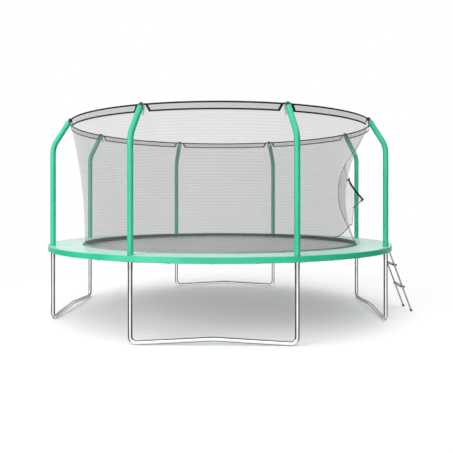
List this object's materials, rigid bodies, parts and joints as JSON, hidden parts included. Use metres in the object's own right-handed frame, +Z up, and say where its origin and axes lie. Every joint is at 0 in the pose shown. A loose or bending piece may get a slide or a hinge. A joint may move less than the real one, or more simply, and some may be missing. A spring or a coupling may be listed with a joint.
{
  "type": "trampoline",
  "caption": "Round outdoor trampoline with a full-height safety net on padded leaning poles, sprung mat, edge pad, W-shaped leg bases and a hook-on ladder.",
  "frame": {"origin": "on the ground, on the vertical axis of the round frame", "axes": "+Z up; +X towards the ladder and the doorway; +Y away from the side that two leg posts share at the front"},
  "size_m": [5.0048, 4.688, 2.59],
  "materials": {
    "galvanised_tube": "bright galvanised, smooth, lightly drawn along the tube",
    "zinc_fittings": "zinc plated, slightly duller than the tubes",
    "pole_steel": "galvanised, hidden inside the foam sleeves",
    "sleeve_cover": "green coated cover over foam, soft sheen",
    "pad_cover": "green coated cover, soft sheen, sewn seams",
    "cap_plastic": "moulded, fine grain",
    "rod_plastic": "glass fibre rod, smooth",
    "screw_brass": "yellow passivated steel, satin",
    "mat_weave": "tightly woven, dull",
    "spring_wire": "bright zinc plated wire",
    "net_mesh": "fine open mesh, dull",
    "net_webbing": "woven webbing, dull",
    "slider_metal": "painted yellow metal slider",
    "ladder_tube": "grey metallic coat over steel tube",
    "foot_rubber": "moulded, dull"
  },
  "bodies": {
    "frame": {"rail_1": "galvanised_tube", "rail_2": "galvanised_tube", "rail_3": "galvanised_tube", "rail_4": "galvanised_tube", "rail_5": "galvanised_tube", "rail_6": "galvanised_tube", "rail_7": "galvanised_tube", "rail_8": "galvanised_tube", "tee_1": "zinc_fittings", "tee_2": "zinc_fittings", "tee_3": "zinc_fittings", "tee_4": "zinc_fittings", "tee_5": "zinc_fittings", "tee_6": "zinc_fittings", "tee_7": "zinc_fittings", "tee_8": "zinc_fittings", "leg_post_1": "galvanised_tube", "leg_post_2": "galvanised_tube", "leg_post_3": "galvanised_tube", "leg_post_4": "galvanised_tube", "leg_post_5": "galvanised_tube", "leg_post_6": "galvanised_tube", "leg_post_7": "galvanised_tube", "leg_post_8": "galvanised_tube", "leg_base_front": "galvanised_tube", "leg_base_right": "galvanised_tube", "leg_base_back": "galvanised_tube", "leg_base_left": "galvanised_tube", "net_pole_1": "pole_steel", "net_pole_2": "pole_steel", "net_pole_3": "pole_steel", "net_pole_4": "pole_steel", "net_pole_5": "pole_steel", "net_pole_6": "pole_steel", "net_pole_7": "pole_steel", "net_pole_8": "pole_steel", "pole_sleeves": "sleeve_cover", "pole_caps": "cap_plastic", "ring_rods": "rod_plastic", "frame_screws": "screw_brass", "springs": "spring_wire", "pad": "pad_cover", "pad_skirt": "pad_cover", "net_wall": "net_mesh", "net_door": "net_mesh", "net_flaps": "net_webbing", "zip_tape": "net_webbing", "door_strap": "net_webbing"},
    "jump_mat": {"mat": "mat_weave", "mat_rings": "zinc_fittings", "net_hem": "net_webbing", "hem_hooks": "cap_plastic"},
    "ladder": {"ladder_rail_front": "ladder_tube", "ladder_rail_rear": "ladder_tube", "ladder_step_upper": "ladder_tube", "ladder_step_lower": "ladder_tube", "ladder_feet": "foot_rubber", "step_caps": "cap_plastic", "step_bolts": "zinc_fittings"},
    "zip_slider": {"zip_slider": "slider_metal"}
  },
  "joints": [
    {"name": "mat_bounce", "type": "slide", "parent": "frame", "child": "jump_mat", "axis": [0, 0, -1], "range_m": [0, 0.15], "stiffness_N_per_m": 6000, "springref_m": -0.02, "deforming": ["springs"]},
    {"name": "ladder_swing", "type": "hinge", "parent": "frame", "child": "ladder", "pos_m": [2.2775, 0, 0.897], "axis": [0, -1, 0], "range_deg": [0, 45], "deforming": ["pad_skirt"]},
    {"name": "zip_slide", "type": "hinge", "parent": "frame", "child": "zip_slider", "pos_m": [2.50837, -0.043, 1.6398], "axis": [0, -1, 0], "range_deg": [0, 49.1]}
  ]
}
